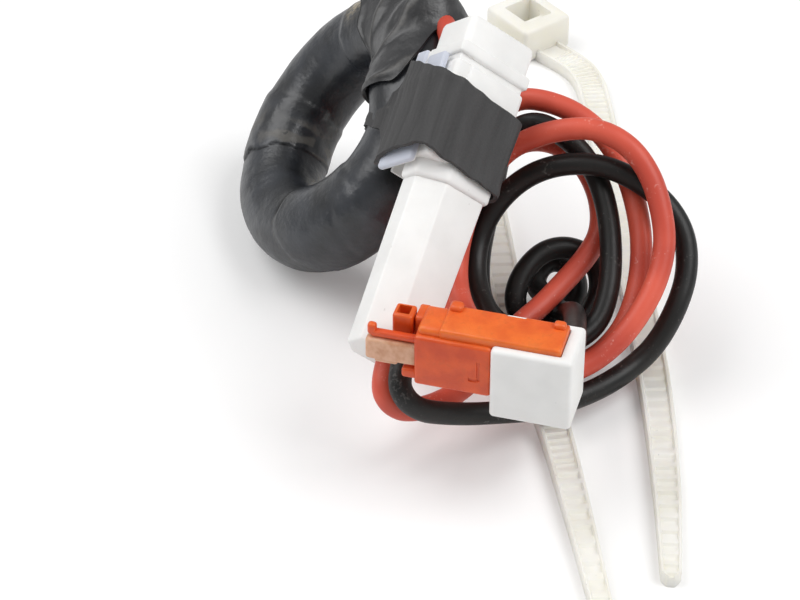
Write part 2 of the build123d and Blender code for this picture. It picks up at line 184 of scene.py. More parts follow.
def peak(value, middle, width):
    """Soft hump, 1 at its middle."""
    return exp(-((value - middle) / width) ** 2)


def read_off(table, place):
    """Value at a place, on straight lines between a table's pairs."""
    for (low, first), (high, second) in zip(table, table[1:]):
        if place <= high:
            return first + (second - first) * (place - low) / (high - low)
    return table[-1][1]


def sleeve_end(around):
    """Angle round the ring where the sleeve's tape ends."""
    return read_off(sleeve_ends, degrees(around)) + 1.2 * noise.noise(Vector((around * 2.0, 4.2, 0.0)))


def bulge_share(turn, around):
    """How far the swelling by the lead exit stands out at a place on the ring."""
    return peak(turn, bulge_turn, 20) * peak(around, bulge_around, 0.8)


def section_reach(around):
    """Distance from the tube's centre line to its skin, in mm."""
    sides = abs(cos(around)) ** section_power + abs(sin(around)) ** section_power
    return tube_half * sides ** (-1 / section_power)


def rumple(place, size, depth):
    """Soft dents, in mm, at a place in mm."""
    return depth * noise.noise(Vector(place) / size)


def ring_angles(point):
    """Angle round the ring in degrees from uphill, and round the tube from the rim."""
    turn = degrees(atan2(point.y, point.x)) % 360
    around = atan2(point.z / mm, hypot(point.x, point.y) / mm - ring_mid)
    return turn, around


def on_ring(turn_deg, around, reach):
    """Point in the ring's own frame, in metres."""
    out = ring_mid + reach * cos(around)
    turn = radians(turn_deg)
    return Vector((out * cos(turn), out * sin(turn), reach * sin(around))) * mm


def mark_points(piece, name, values):
    """Number carried by each point of the mesh, for its finish."""
    piece.data.attributes.new(name, "FLOAT", "POINT")
    piece.data.attributes[name].data.foreach_set("value", values)


def pick(*pieces):
    """Selects only these pieces, with the first one active."""
    bpy.ops.object.select_all(action="DESELECT")
    for piece in pieces:
        piece.select_set(True)
    bpy.context.view_layer.objects.active = pieces[0]


def settle(piece, seat, material, node):
    """Puts a piece made in its own frame into the part's, and gives it its finish."""
    pick(piece)
    piece.matrix_world = seat @ piece.matrix_world
    bpy.ops.object.transform_apply(location=True, rotation=True, scale=True)
    bpy.ops.object.shade_smooth_by_angle(angle=radians(40))
    piece.data.materials.clear()
    piece.data.materials.append(material)
    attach(piece, "root")
    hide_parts(node)


def tape_finish(name, dark, light, roughness):
    """Black tape: satin, dusty with black pits where it is worn, with painted highlights where its wear mark
    says so, and painted shade, near black and without sheen, at its open edges and hollows.
    """
    material, where = new_finish(name)
    wear_and_highlight = where.mark("wear_and_highlight")
    cloud = where.grain(3.0, 4.0)
    specks = where.grain(0.35, 6.0)
    fine = where.grain(0.8, 5.0)
    # The wear mark brings real dust, and at the crease a painted highlight.
    dust_and_highlight = (wear_and_highlight + specks * 0.5 + cloud * 0.3).step(0.72, 1.25)
    pits = where.grain(0.55, 2.0).step(0.62, 0.68) * wear_and_highlight
    body = cloud.step(0.35, 0.68).tint(dark, light)
    dusted = (dust_and_highlight * 0.5).tint(body, (0.15, 0.138, 0.118))
    stained = (where.mark("stain") * specks.step(0.35, 0.6)).tint(dusted, (0.36, 0.29, 0.17))
    # Painted shade: near-black colour, more roughness and, through the metallic input, no sheen.
    gap_shade = where.mark("gap_shade")
    colour = gap_shade.tint((pits * 0.9).tint(stained, (0.006, 0.006, 0.006)), (0.002, 0.002, 0.002))
    sheen = roughness + 0.25 * fine + 0.12 * dust_and_highlight + 0.35 * gap_shade
    lay_finish(where, colour, sheen, fine * 0.5 + specks * 0.25 + cloud, 0.09,
               Metallic=gap_shade * 0.85, Specular_IOR_Level=0.7)
    return material


bpy.ops.object.select_all(action="DESELECT")
bpy.ops.mesh.primitive_torus_add(major_segments=480, minor_segments=96, major_radius=ring_mid * mm,
                                 minor_radius=tube_half * mm)
ring = bpy.context.object
ring.name = "ring_wrap_tape"
wear_and_highlight = []
gap_shade = []
stain = []
for point in ring.data.vertices:
    turn, around = ring_angles(point.co)
    height = degrees(around)
    wander = noise.noise(Vector((around * 1.5, 0.3, 1.7)))
    ragged = 2.2 * noise.noise(Vector((around * 4.0, 2.1, 0.4)))
    facing = between(height, -30, 30, 140, 165)
    dusty = rise(turn + 6 * rise(height, 100, 150), dusty_from, dusty_from + 5)
    dusty *= 1 - rise(turn - ragged, dusty_to - 0.8, dusty_to)
    loose_edge = loose_from + 0.16 * max(0.0, 75 - height) + wander
    loose = between(turn, loose_edge, loose_edge + 0.8, loose_to, loose_to + 6)
    under = 1 - rise(min(turn, 360 - turn) + 2 * wander, under_to - 0.8, under_to)
    crease = peak(turn, crease_turn + 0.1 * height, 1.3) * between(height, -45, -10, 50, 70)
    arc = peak(turn, loose_edge - 0.5, 1.5) * between(height, 82, 95, 145, 160)
    reach = section_reach(around) + dusty_proud * dusty + loose_proud * loose + under_proud * under
    reach += bulge_proud * bulge_share(turn, around) - 0.09 * crease - 0.05 * arc
    spot = on_ring(turn, around, reach) / mm
    reach += rumple(spot, 3.4, 0.07) + rumple(spot, 1.2, 0.025) + rumple(spot, 0.8, 0.04) * dusty
    point.co = on_ring(turn, around, reach)
    patch = rise(noise.noise(Vector((turn * 0.13, around * 1.8, 0.0))), -0.25, 0.4) * rise(turn, 118, 134)
    pale = peak(turn, loose_edge - 2.0, 0.9) * facing
    # Dust on the dusty lap, a pale line before the loose edge, and a painted highlight along the crease.
    wear_and_highlight.append(min(1.0, dusty * (0.25 + 0.6 * patch) + 0.7 * pale + 0.4 * crease))
    # Painted shade: dark lines in the gap at the loose edge, beside the sleeve's end and under the dusty
    # lap's edge, and a dark patch on the tape under the pair.
    seam = peak(turn, sleeve_end(around) + 0.9, 1.0)
    lap_shadow = peak(turn, dusty_to + ragged + 0.5, 0.8) * facing
    shade_under_pair = peak(turn, shade_under_pair_turn, 7) * between(height, -30, 0, 30, 60)
    gap_shade.append(min(1.0, arc + 0.9 * seam + 0.8 * lap_shadow + 0.85 * shade_under_pair))
    stain.append(peak(turn, stain_turn, 4.5) * peak(height, stain_height, 22))
mark_points(ring, "wear_and_highlight", wear_and_highlight)
mark_points(ring, "gap_shade", gap_shade)
mark_points(ring, "stain", stain)
ring_tape = tape_finish("ring_tape_black", (0.012, 0.0132, 0.0155), (0.028, 0.0315, 0.039), 0.21)
settle(ring, ring_seat, ring_tape, "ring_wrap")

# Lead sleeve: a second length of tape wound over the joints of the leads, creased on the slant.
# Its end stands off the ring with an open edge, and the lump at the other end holds the joints.
sleeve_from, sleeve_front = -9.0, 29.0
sleeve_proud = 0.42
lump_turn, lump_around, lump_rise = 2.0, 0.55, 1.75


def finish_shell(piece, thickness_mm):
    """Closes the seam of an open skin and gives it its thickness, inwards."""
    pick(piece)
    bpy.ops.object.mode_set(mode="EDIT")
    bpy.ops.mesh.select_all(action="SELECT")
    bpy.ops.mesh.remove_doubles(threshold=0.001 * mm)
    bpy.ops.mesh.normals_make_consistent(inside=False)
    bpy.ops.object.mode_set(mode="OBJECT")
    thicken = piece.modifiers.new("thickness", "SOLIDIFY")
    thicken.thickness = thickness_mm * mm
    thicken.offset = -1.0
    bpy.ops.object.modifier_apply(modifier=thicken.name)


bpy.ops.object.select_all(action="DESELECT")
bpy.ops.mesh.primitive_grid_add(x_subdivisions=190, y_subdivisions=150, size=1)
sleeve = bpy.context.object
sleeve.name = "lead_sleeve_tape"
wear_and_highlight = []
gap_shade = []
for point in sleeve.data.vertices:
    around = -pi + 2 * pi * (point.co.y + 0.5)
    end = sleeve_end(around)
    front = between(degrees(around), 25, 80, 150, 180)
    ragged = 1.5 * noise.noise(Vector((cos(around) * 1.5, sin(around) * 1.5, 6.0)))
    start = sleeve_from - sleeve_front * front + ragged
    turn = start + (point.co.x + 0.5) * (end - start)
    drift = 1.6 * noise.noise(Vector((turn * 0.06, abs(around), 0.0)))
    ridge = max(0.0, sin(turn * 0.24 + abs(around) * 2.1 + drift)) ** 3
    lump = peak(turn, lump_turn, 7.5) * peak(around, lump_around, 0.75)
    lift = 0.14 * peak(turn, end, 2.5)
    window = rise(-cos(around), 0.5, 0.95)
    reach = section_reach(around) + sleeve_proud * (1 - 0.6 * window)
    reach += lump_rise * lump + lift + 0.2 * ridge + bulge_proud * bulge_share(turn + 360, around)
    spot = on_ring(turn, around, reach) / mm
    reach += rumple(spot, 1.6, 0.12) + rumple(spot, 0.7, 0.03)
    point.co = on_ring(turn, around, reach)
    wear_and_highlight.append(min(1.0, 0.42 * ridge + 0.35 * peak(turn, end, 1.0) + 0.12))
    # Painted shade along the sleeve's open end.
    gap_shade.append(0.9 * peak(turn, end, 0.5))
mark_points(sleeve, "wear_and_highlight", wear_and_highlight)
mark_points(sleeve, "gap_shade", gap_shade)
finish_shell(sleeve, 0.3)
sleeve_tape = tape_finish("lead_tape_black", (0.018, 0.0185, 0.02), (0.036, 0.036, 0.038), 0.26)
settle(sleeve, ring_seat, sleeve_tape, "lead_sleeve")

# Leads: two short wires from the lump into the underside of the socket.
# Silicone-covered, soft, with the same covering as the long wires.
wire_radius = 0.8
pair_turn = radians(-41.0)
pair_out = ring_uphill * cos(pair_turn) + ring_side * sin(pair_turn)
pair_run = (-ring_axis).cross(pair_out)
pair_origin = pair_out * 15.8 + ring_axis * 1.5 + pair_run * 1.0
pair_seat = Matrix((-ring_axis, pair_out, pair_run)).transposed().to_4x4()
pair_seat.translation = pair_origin * mm
branch_turn = radians(-15.8)
branch_seat = Matrix.Rotation(branch_turn, 4, "Z")
branch_seat.translation = Vector((9.3, -31.8, -0.89)) * mm


def wire_finish(name, deep, plain, scuff):
    """Silicone rubber: satin, with darker stretches and pale rubbed flecks."""
    material, where = new_finish(name)
    stretch = where.grain(6.0, 2.0)
    flecks = where.grain(0.28, 5.0)
    patches = where.grain(2.4, 3.0)
    rubbed = (flecks * 0.7 + patches * 0.5).step(0.70, 0.82)
    colour = (rubbed * 0.35).tint(stretch.step(0.35, 0.65).tint(deep, plain), scuff)
    sheen = 0.36 + 0.15 * patches + 0.1 * rubbed
    lay_finish(where, colour, sheen, flecks, 0.015, Specular_IOR_Level=0.4)
    return material


def run_wire(name, points, material, node):
    """One smooth wire through points in metres."""
    line = bpy.data.curves.new(name, "CURVE")
    line.dimensions = "3D"
    line.bevel_depth = wire_radius * mm
    line.bevel_resolution = 7
    line.resolution_u = 8
    line.use_fill_caps = True
    spline = line.splines.new("NURBS")
    spline.points.add(len(points) - 1)
    for control, place in zip(spline.points, points):
        control.co = (*place, 1.0)
    spline.order_u = 3
    spline.use_endpoint_u = True
    wire = bpy.data.objects.new(name, line)
    bpy.context.collection.objects.link(wire)
    line.materials.append(material)
    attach(wire, "root")
    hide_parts(node)
    return wire


def seated(seat, points):
    """Points in mm in a piece's frame, in metres in the part's."""
    return [seat @ (Vector(place) * mm) for place in points]


red_rubber = wire_finish("red_silicone_rubber", (0.56, 0.072, 0.044), (0.76, 0.122, 0.074),
                         (0.85, 0.55, 0.48))
black_rubber = wire_finish("black_silicone_rubber", (0.008, 0.008, 0.008), (0.014, 0.013, 0.012),
                           (0.2, 0.19, 0.18))
lead_course = [
    (0.7, 1.3, -8.0, -8.9), (1.0, 1.4, -6.3, -7.6), (1.2, 1.4, -4.8, -5.9),
    (1.2, 1.3, -3.75, -4.2), (1.2, 1.2, -1.5, -3.9)]
leads = (("lead_red", -1, red_rubber, "red_silicone"), ("lead_black", 1, black_rubber, "black_silicone"))
for name, side, material, slot in leads:
    course = [(side * apart + aside, out, along) for apart, aside, out, along in lead_course]
    run_wire(name + "_wire", seated(pair_seat, course), material, name)

# Long wires: red and black silicone wire from the rear of the plug, in loose turns, to the branch plug.
# Stranded copper under soft rubber, so the turns lie as they fell.
red_rear = [(0.7, -1.0, 19.4), (0.7, -1.0, 21.5), (1.8, -1.0, 22.5), (3.6, -1.2, 22.3)]
red_loops = [
    (6.0, -24.8, -5.7), (7.8, -22.3, -6.5), (9.5, -19.8, -6.4), (10.8, -17.9, -5.6), (12.1, -16.5, -5.1),
    (13.6, -15.2, -4.6), (15.3, -13.5, -3.7), (16.9, -12.1, -2.6), (18.0, -10.6, -1.4), (18.0, -8.6, 0.0),
    (17.1, -6.8, 1.4), (15.6, -5.5, 2.4), (13.6, -4.6, 2.6), (11.6, -4.1, 1.6), (10.1, -4.1, -0.1),
    (9.0, -4.8, -2.1), (8.2, -6.5, -3.9), (7.6, -8.9, -5.5), (7.4, -11.3, -6.9), (8.4, -13.8, -7.9),
    (10.0, -16.2, -7.95), (12.2, -18.6, -7.2), (14.6, -19.1, -7.1), (17.1, -19.2, -6.5), (19.3, -17.8, -4.8),
    (20.4, -15.6, -3.0), (20.8, -13.0, -1.1), (20.5, -10.6, 0.7), (19.7, -8.4, 2.5), (18.3, -6.4, 4.0),
    (16.4, -4.9, 5.0), (14.2, -4.0, 5.5), (12.1, -3.3, 5.3), (10.3, -4.0, 4.3), (9.1, -5.5, 2.7),
    (8.4, -7.4, 0.7), (7.8, -9.1, -1.1), (7.3, -10.7, -3.0), (7.0, -12.4, -4.8), (7.5, -15.4, -5.4),
    (8.8, -20.3, -4.2), (11.0, -22.4, -4.5), (13.8, -22.3, -5.4), (16.4, -21.5, -5.1), (18.6, -20.2, -4.1),
    (20.2, -18.8, -2.7), (21.5, -17.1, -1.1), (22.2, -15.1, 0.7), (21.9, -13.3, 2.7), (21.1, -11.5, 4.5),
    (19.6, -10.0, 5.9), (17.3, -8.9, 6.5), (14.8, -8.7, 6.2), (12.8, -8.6, 5.4), (11.0, -8.4, 4.1),
    (9.5, -9.2, 2.3), (8.4, -10.6, 0.5), (7.7, -12.5, -1.2), (7.5, -14.8, -2.6), (7.9, -17.4, -3.1),
    (8.9, -20.8, -2.4), (10.4, -22.9, -1.3)]
red_end = [(0.4, 7.4, 0.8), (1.7, 6.0, 1.8), (1.8, 3.9, 2.2)]
black_rear = [(0.5, 1.1, 19.4), (0.5, 1.1, 21.5), (1.6, 1.05, 22.5), (3.2, 1.0, 22.6)]
black_loops = [
    (6.6, -27.3, -4.4), (8.4, -26.3, -5.3), (10.5, -25.3, -6.0), (13.1, -24.2, -6.7), (15.5, -23.0, -6.8),
    (17.8, -21.3, -7.0), (19.9, -19.5, -6.8), (21.7, -18.3, -5.6), (23.1, -16.9, -3.4), (23.9, -15.0, -1.7),
    (23.8, -13.0, 0.1), (22.5, -11.5, 1.8), (20.4, -10.5, 3.1), (17.9, -9.6, 3.8), (15.3, -9.3, 3.7),
    (13.1, -9.1, 2.8), (11.3, -9.2, 1.3), (9.8, -10.0, -0.5), (9.0, -11.4, -2.3), (8.9, -13.6, -3.5),
    (9.5, -16.2, -4.1), (10.7, -19.3, -3.8), (13.0, -19.6, -4.6), (15.3, -18.9, -5.2), (17.5, -17.5, -4.6),
    (18.4, -15.4, -2.9), (18.6, -13.1, -1.2), (18.4, -11.0, 0.5), (17.8, -9.0, 2.0), (16.6, -7.3, 3.3),
    (15.0, -6.1, 4.2), (13.3, -5.3, 4.6), (11.7, -5.3, 3.9), (10.7, -6.0, 2.1), (10.3, -7.2, 0.0),
    (9.8, -8.4, -2.0), (9.3, -9.9, -3.8), (9.2, -11.8, -5.3), (9.7, -13.7, -6.3), (11.4, -15.2, -7.0),
    (13.4, -16.1, -7.25), (15.6, -14.9, -7.8), (17.4, -13.5, -6.7), (18.2, -11.6, -5.4), (17.5, -10.3, -3.9),
    (15.6, -10.0, -3.1), (13.7, -10.5, -3.3), (12.2, -11.9, -4.4), (11.7, -13.2, -5.8), (12.5, -13.8, -7.2),
    (14.3, -12.7, -7.6), (16.0, -11.5, -7.8), (16.7, -9.8, -6.9), (15.8, -8.6, -5.6), (14.1, -9.0, -5.3),
    (13.2, -10.7, -5.9), (14.0, -12.5, -5.9), (15.2, -14.3, -6.05), (15.8, -16.6, -4.0), (15.7, -19.9, -2.0),
    (15.4, -23.4, -0.3)]
black_end = [(4.4, 6.2, 2.4), (4.2, 3.9, 2.2)]
open_space = Matrix.Identity(4)
red_route = seated(pair_seat, red_rear) + seated(open_space, red_loops) + seated(branch_seat, red_end)
black_route = seated(pair_seat, black_rear) + seated(open_space, black_loops) + seated(branch_seat, black_end)
cord_red = run_wire("cord_red_wire", red_route, red_rubber, "cord_red")
cord_black = run_wire("cord_black_wire", black_route, black_rubber, "cord_black")

# Connector pair: two white nylon housings, injection moulded, latched into each other.
# The socket has a rear block, a flange, a shell and a mouth rim; the plug has a bevelled body.


def brick(low, high, round_mm, segments=3):
    """Block between two corners in mm, with its edges rounded."""
    bpy.ops.object.select_all(action="DESELECT")
    middle = [(a + b) / 2 * mm for a, b in zip(low, high)]
    size = [(b - a) * mm for a, b in zip(low, high)]
    bpy.ops.mesh.primitive_cube_add(size=1, location=middle, scale=size)
    bpy.ops.object.transform_apply(location=True, rotation=True, scale=True)
    bpy.ops.object.mode_set(mode="EDIT")
    bpy.ops.mesh.select_all(action="SELECT")
    bpy.ops.mesh.bevel(offset=round_mm * mm, segments=segments, affect="EDGES")
    bpy.ops.object.mode_set(mode="OBJECT")
    return bpy.context.object


def carve(piece, cutter, operation="DIFFERENCE"):
    """Cuts one piece by another, or joins them, and takes the second away."""
    pick(piece)
    cut = piece.modifiers.new("cut", "BOOLEAN")
    cut.operation = operation
    cut.solver = "EXACT"
    cut.object = cutter
    bpy.ops.object.modifier_apply(modifier=cut.name)
    bpy.data.objects.remove(cutter, do_unlink=True)


def welded(name, pieces):
    """Several overlapping blocks as one moulding."""
    body = pieces[0]
    for other in pieces[1:]:
        carve(body, other, "UNION")
    body.name = name
    return body


def moulding_finish(name, deep, plain, roughness, cloud_mm, **fixed):
    """Moulded plastic: faintly clouded, with a satin skin and dark specks, and painted bluish shade where the
    clear mark is set.
    """
    material, where = new_finish(name)
    cloud = where.grain(cloud_mm, 3.0)
    skin = where.grain(0.12, 3.0)
    specks = where.grain(0.45, 2.0).step(0.74, 0.80)
    # Painted bluish shade where the clear mark is set.
    body = where.mark("clear").tint(cloud.step(0.3, 0.7).tint(deep, plain), (0.58, 0.61, 0.70))
    colour = (specks * 0.25).tint(body, (0.25, 0.23, 0.2))
    lay_finish(where, colour, roughness + 0.15 * cloud, skin, 0.006, **fixed)
    return material


def prism(profile, low, high, round_mm):
    """Block with a given section in x and y, from z low to z high, in mm, with its edges rounded."""
    bpy.ops.object.select_all(action="DESELECT")
    bpy.ops.mesh.primitive_circle_add(vertices=len(profile), fill_type="NGON", radius=mm)
    block = bpy.context.object
    for point, (x, y) in zip(block.data.vertices, profile):
        point.co = Vector((x, y, low)) * mm
    bpy.ops.object.mode_set(mode="EDIT")
    bpy.ops.mesh.select_all(action="SELECT")
    bpy.ops.mesh.extrude_region_move(TRANSFORM_OT_translate={"value": (0, 0, (high - low) * mm)})
    bpy.ops.mesh.select_all(action="SELECT")
    bpy.ops.mesh.normals_make_consistent(inside=False)
    bpy.ops.mesh.bevel(offset=round_mm * mm, segments=3, affect="EDGES")
    bpy.ops.object.mode_set(mode="OBJECT")
    return block


white_nylon = moulding_finish("white_nylon_moulding", (0.85, 0.845, 0.83), (0.90, 0.895, 0.88), 0.36, 2.5,
                              Subsurface_Weight=0.15, Subsurface_Radius=(0.0012, 0.0011, 0.001),
                              Subsurface_Scale=1.0)
tip_deg, tip_line = -1.5, Vector((0.0, -0.788, 0.616))
roll_deg = 4.0
pair_place = Matrix.Translation(pair_seat.translation)
askew = pair_place @ Matrix.Rotation(radians(tip_deg), 4, tip_line) @ pair_place.inverted()
house_seat = askew @ pair_seat @ Matrix.Rotation(radians(roll_deg), 4, "Z")
socket = welded("socket_moulding", [
    brick((-3.05, -1.95, -2.8), (3.05, 2.25, -1.8), 0.2),
    brick((-2.85, -1.95, -5.1), (2.85, 2.05, -2.3), 0.5),
    brick((-2.8, -1.95, -2.1), (2.8, 1.95, -0.6), 0.1),
    brick((-3.0, -1.95, -1.35), (3.0, 2.2, 6.2), 0.3),
    brick((-1.9, 1.0, -1.2), (2.75, 2.4, 1.6), 0.2),
    prism([(-2.7, -0.9), (2.95, -0.9), (2.95, 2.33), (-0.8, 2.33), (-2.7, 0.9)], 5.9, 7.5, 0.3),
    brick((-3.05, -4.2, -0.2), (2.9, -1.7, 6.0), 0.25),
    brick((-3.35, -3.0, -2.6), (-2.8, -1.8, -1.1), 0.12),
    brick((-3.65, -0.8, -1.7), (-3.15, 1.2, 1.5), 0.15),
    brick((-3.5, -3.0, 4.0), (-2.95, 1.1, 6.8), 0.22),
    brick((-3.3, -2.4, -0.2), (-2.9, 1.4, 5.0), 0.15),
])
carve(socket, brick((-2.3, -3.5, -2.4), (2.1, -2.4, 4.5), 0.1))
carve(socket, brick((-2.75, -3.9, 4.6), (2.3, -1.6, 9.0), 0.1))
carve(socket, brick((-2.95, -4.5, 3.4), (-1.7, -0.85, 9.0), 0.05))
# The clear mark paints bluish shade on the socket's left faces, lip and tabs, which lie in shadow.
clear = []
for point in socket.data.vertices:
    spot = point.co / mm
    low_tab = spot.y < -1.97 and spot.z < -1.0
    clear.append(1.0 if spot.x < -3.12 or low_tab else 0.0)
mark_points(socket, "clear", clear)
settle(socket, house_seat, white_nylon, "socket_housing")

plug_front, plug_rear, plug_draft = 6.6, 20.0, 0.5
plug_section = [(-1.2, -2.0), (2.7, -2.0), (2.7, 2.1), (-0.65, 2.1), (-2.4, 0.75), (-2.4, -0.8)]
plug = prism(plug_section, plug_front, plug_rear, 0.14)
for point in plug.data.vertices:
    if point.co.x > 0:
        point.co.x -= plug_draft * mm * (point.co.z / mm - plug_front) / (plug_rear - plug_front)
plug = welded("plug_moulding", [
    plug,
    brick((-0.4, -3.6, 4.7), (1.7, -2.7, 12.8), 0.2),
    brick((-0.4, -3.5, 11.6), (1.7, -1.6, 12.8), 0.2),
])
settle(plug, house_seat, white_nylon, "plug_housing")

# Contacts of the three connectors: folded brass, tinned, one for each wire in each housing.
# They stay as the solids are, closed in by the housings.
contact_metal = inner_finish("tinned_brass", (0.5, 0.46, 0.38), (0.72, 0.68, 0.58), 0.3, 1.0, 0.3)
lay_inside(contact_metal, "socket_contact_red", "socket_contact_black", "plug_contact_red",
           "plug_contact_black", "branch_contact_red", "branch_contact_black")

# Tape band: a turn of cloth-backed black tape that binds the pair to the ring.
# It goes over the pair, down both sides and through the window; its edges curl a little.


def ring_point(turn_deg, out, forward):
    """Point of the ring in the pair's frame, in mm."""
    turn = radians(turn_deg)
    place = (ring_uphill * cos(turn) + ring_side * sin(turn)) * out + ring_axis * forward - pair_origin
    return Vector((place.dot(-ring_axis), place.dot(pair_out), place.dot(pair_run)))


def band_edge(left, right, back, turn_deg):
    """Control points of one edge of the band, once round the pair and the ring."""
    over = [(-2.7, -4.6), (-3.7, -3.0), (-4.15, -1.2), (-4.2, 0.8), (-4.15, 2.4), (-2.9, 2.9),
            (0.0, 2.72), (2.3, 2.75), (3.5, 2.55), (3.65, 0.6), (3.5, -3.2)]
    askew_in_pair = pair_seat.inverted() @ house_seat
    points = []
    for x, y in over:
        along = left + (right - left) * (x + 3.5) / 7.0
        if x < -2.5:
            along -= back * max(0.0, 1.8 - y)
        points.append(askew_in_pair @ (Vector((x, y, along)) * mm) / mm)
    low = [(9.6, -3.3), (8.2, -3.4), (6.2, -3.1), (4.9, -1.2),
           (4.9, 1.2), (6.2, 3.1), (8.2, 3.4), (9.8, 3.35)]
    return points + [ring_point(turn_deg, out, forward) for out, forward in low]


def edge_loop(name, points):
    """Closed smooth line through control points in mm, as a mesh of edges."""
    line = bpy.data.curves.new(name, "CURVE")
    line.dimensions = "3D"
    line.resolution_u = 12
    spline = line.splines.new("NURBS")
    spline.points.add(len(points) - 1)
    for control, place in zip(spline.points, points):
        control.co = (*(place * mm), 1.0)
    spline.order_u = 3
    spline.use_cyclic_u = True
    loop = bpy.data.objects.new(name, line)
    bpy.context.collection.objects.link(loop)
    pick(loop)
    bpy.ops.object.convert(target="MESH")
    return bpy.context.object


near_edge = edge_loop("tape_band_cloth", band_edge(0.25, 0.85, 0.42, -42.0))
far_edge = edge_loop("far_edge", band_edge(6.1, 6.65, 0.0, -60.0))
pick(near_edge, far_edge)
bpy.ops.object.join()
band = bpy.context.object
bpy.ops.object.mode_set(mode="EDIT")
bpy.ops.mesh.select_all(action="SELECT")
bpy.ops.mesh.bridge_edge_loops(number_cuts=28, interpolation="LINEAR")
bpy.ops.mesh.normals_make_consistent(inside=False)
bpy.ops.object.mode_set(mode="OBJECT")
wear_and_highlight = []
streak = []
for point in band.data.vertices:
    spot = point.co / mm
    ridges = noise.noise(Vector((spot.x * 1.3, spot.y * 1.3, spot.z * 0.1)))
    threads = noise.noise(Vector((spot.x * 5.0, spot.y * 5.0, spot.z * 0.25)))
    edge = min(abs(spot.z - 0.5), abs(spot.z - 6.35))
    curl = 0.12 * exp(-edge / 0.5)
    point.co += point.normal * (0.11 * ridges + 0.03 * threads + rumple(spot, 2.2, 0.1) + curl) * mm
    point.co.z += 0.16 * noise.noise(spot * 0.9) * mm
    wear_and_highlight.append(min(1.0, 0.3 + 0.4 * exp(-edge / 0.2)))
    streak.append(0.5 + 0.45 * ridges + 0.35 * threads)
mark_points(band, "wear_and_highlight", wear_and_highlight)
mark_points(band, "streak", streak)
finish_shell(band, 0.3)
band_cloth, where = new_finish("band_tape_cloth")
lines = where.mark("streak")
weave = where.grain(0.16, 4.0)
lint = (where.grain(0.5, 6.0) * 0.8 + where.mark("wear_and_highlight") * 0.3).step(0.62, 0.80)
cloth = (lines * 0.6 + weave * 0.5).tint((0.03, 0.03, 0.0305), (0.078, 0.077, 0.078))
colour = (lint * 0.3).tint(cloth, (0.2, 0.19, 0.18))
lay_finish(where, colour, 0.62 + 0.2 * weave, weave + lines, 0.03, Specular_IOR_Level=0.35)
settle(band, pair_seat, band_cloth, "tape_band")

# Branch plug: orange nylon body in a white collar, with its latch arm lying in the collar's channel.
# The mating end has a slotted prong, a thin hook and the tan terminal lock.
orange_nylon, where = new_finish("orange_nylon_moulding")
# The upper part, most of all near its front edge, is lighter and yellower: painted light, and partly the thin
# arm's translucency.
thin_and_lit = where.mark("thin_and_lit")
cloud = where.grain(1.6, 3.0)
skin = where.grain(0.15, 4.0)
grime = (where.grain(0.6, 5.0) * 0.8 + cloud * 0.4).step(0.64, 0.8)
body_tint = cloud.step(0.3, 0.7).tint((0.62, 0.065, 0.012), (0.78, 0.105, 0.018))
thin_and_lit_tint = thin_and_lit.tint(body_tint, cloud.step(0.3, 0.7).tint((0.76, 0.135, 0.018), (0.86, 0.19, 0.024)))
lay_finish(where, (grime * 0.2).tint(thin_and_lit_tint, (0.4, 0.08, 0.02)), 0.26 + 0.2 * cloud, skin + cloud, 0.02,
           Subsurface_Weight=0.2, Subsurface_Radius=(0.001, 0.0004, 0.0001), Subsurface_Scale=1.0)
tan_nylon = moulding_finish("tan_nylon_moulding", (0.56, 0.26, 0.14), (0.74, 0.45, 0.3), 0.3, 0.8,
                            Subsurface_Weight=0.3, Subsurface_Radius=(0.001, 0.0006, 0.0004),
                            Subsurface_Scale=1.0)
collar = brick((0.0, 0.0, 0.0), (5.5, 4.2, 5.6), 0.32, 4)
carve(collar, brick((-1.0, 0.6, 0.8), (4.6, 3.6, 7.0), 0.1))
collar.name = "branch_collar_moulding"
settle(collar, branch_seat, white_nylon, "branch_plug_collar")
arm = brick((-3.6, 0.62, 5.25), (4.55, 3.58, 6.05), 0.2)
carve(arm, brick((0.2, 3.2, 5.85), (1.6, 4.0, 7.0), 0.15))
prong = brick((-7.1, 1.8, 3.9), (-5.7, 3.2, 5.75), 0.2)
carve(prong, brick((-6.85, 2.1, 4.7), (-6.0, 2.95, 7.0), 0.05))
body = welded("branch_body_moulding", [
    brick((-5.2, 0.3, 1.4), (0.0, 3.9, 5.4), 0.25),
    brick((-0.6, 0.65, 1.4), (4.5, 3.55, 5.4), 0.1),
    arm,
    brick((-3.5, 2.8, 5.6), (-2.6, 3.7, 6.4), 0.25),
    brick((3.5, 2.8, 5.7), (4.35, 3.5, 6.4), 0.25),
    brick((-5.1, 0.7, 5.0), (-3.0, 3.4, 5.9), 0.35),
    brick((-5.6, 2.0, 4.2), (-4.8, 3.6, 5.7), 0.2),
    prong,
    brick((-6.0, 2.3, 3.2), (-4.8, 3.6, 4.6), 0.2),
    brick((-8.3, 0.7, 4.5), (-5.0, 1.25, 4.95), 0.15),
    brick((-8.5, 0.7, 4.6), (-7.9, 1.25, 5.45), 0.2),
    brick((-6.1, 0.45, 1.7), (-5.0, 1.4, 2.45), 0.2),
])
carve(body, brick((-0.95, 0.0, 2.6), (-0.7, 0.4, 4.2), 0.05))
carve(body, brick((-1.5, 0.0, 2.5), (-0.9, 0.4, 2.8), 0.05))
